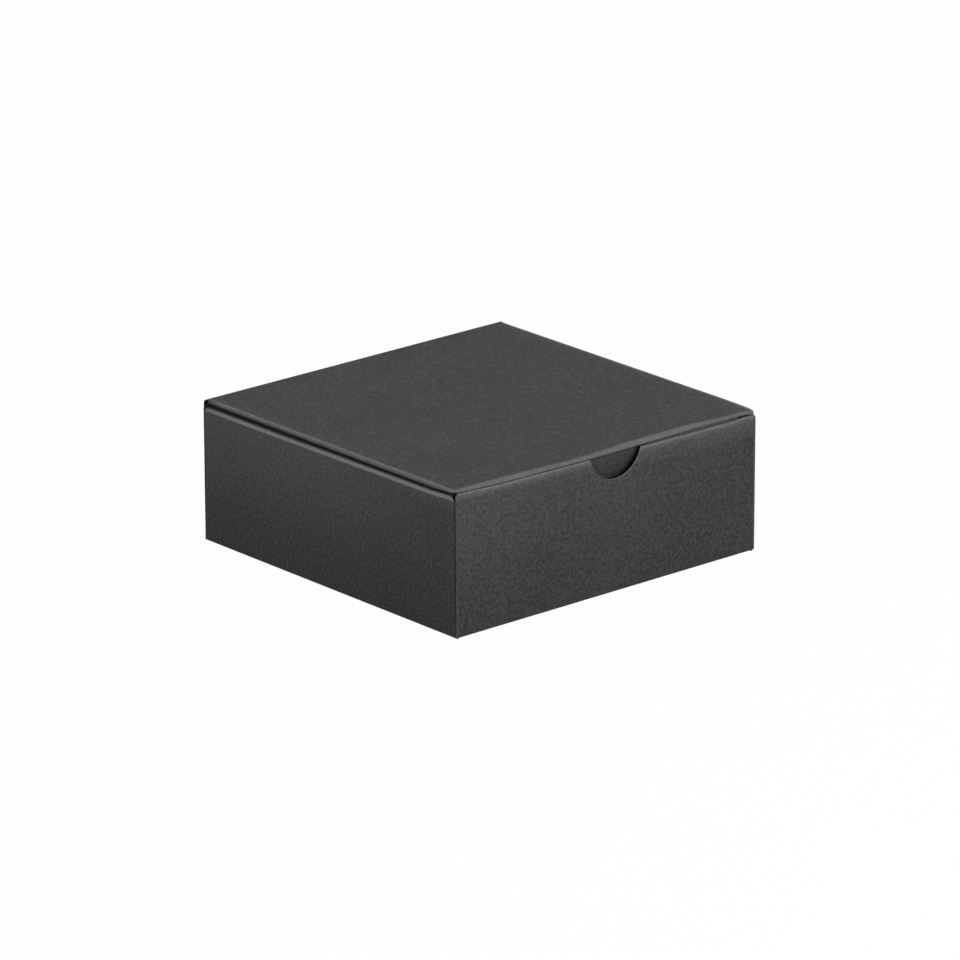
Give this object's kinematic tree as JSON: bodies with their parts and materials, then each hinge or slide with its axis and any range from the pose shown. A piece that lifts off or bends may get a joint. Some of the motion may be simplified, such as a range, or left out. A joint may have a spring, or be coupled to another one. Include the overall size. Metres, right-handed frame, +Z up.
{
  "type": "hinged-lid gift box",
  "caption": "Square folded board gift box with a hinged lid, a tuck flap behind the front wall and a half-moon thumb notch.",
  "frame": {"origin": "middle of the underside, at the lowest plane of the closed box", "axes": "+X across the front to the right, +Y from the thumb-notch front to the hinged back, +Z up"},
  "size_m": [0.15, 0.147, 0.057],
  "materials": {
    "outside_board": "matt black kraft liner",
    "inside_board": "matt black kraft liner, inner side",
    "crease_board": "matt black kraft liner, rubbed paler where it is folded"
  },
  "bodies": {
    "box": {"base_panel": "inside_board", "front_wall": "outside_board", "back_wall": "outside_board", "left_outer_wall": "outside_board", "right_outer_wall": "outside_board", "left_top_strip": "crease_board", "right_top_strip": "crease_board", "left_inner_wall": "inside_board", "right_inner_wall": "inside_board", "front_left_tab": "inside_board", "front_right_tab": "inside_board", "back_left_tab": "inside_board", "back_right_tab": "inside_board", "lid_crease": "crease_board"},
    "lid": {"lid_panel": "outside_board", "tuck_crease": "crease_board"},
    "flap": {"tuck_flap": "outside_board"}
  },
  "joints": [
    {"name": "lid_hinge", "type": "hinge", "parent": "box", "child": "lid", "pos_m": [0, 0.072, 0.0555], "axis": [-1, 0, 0], "range_deg": [0, 175]},
    {"name": "tuck_fold", "type": "hinge", "parent": "lid", "child": "flap", "pos_m": [0, -0.0702, 0.0555], "axis": [1, 0, 0], "range_deg": [0, 78]}
  ]
}
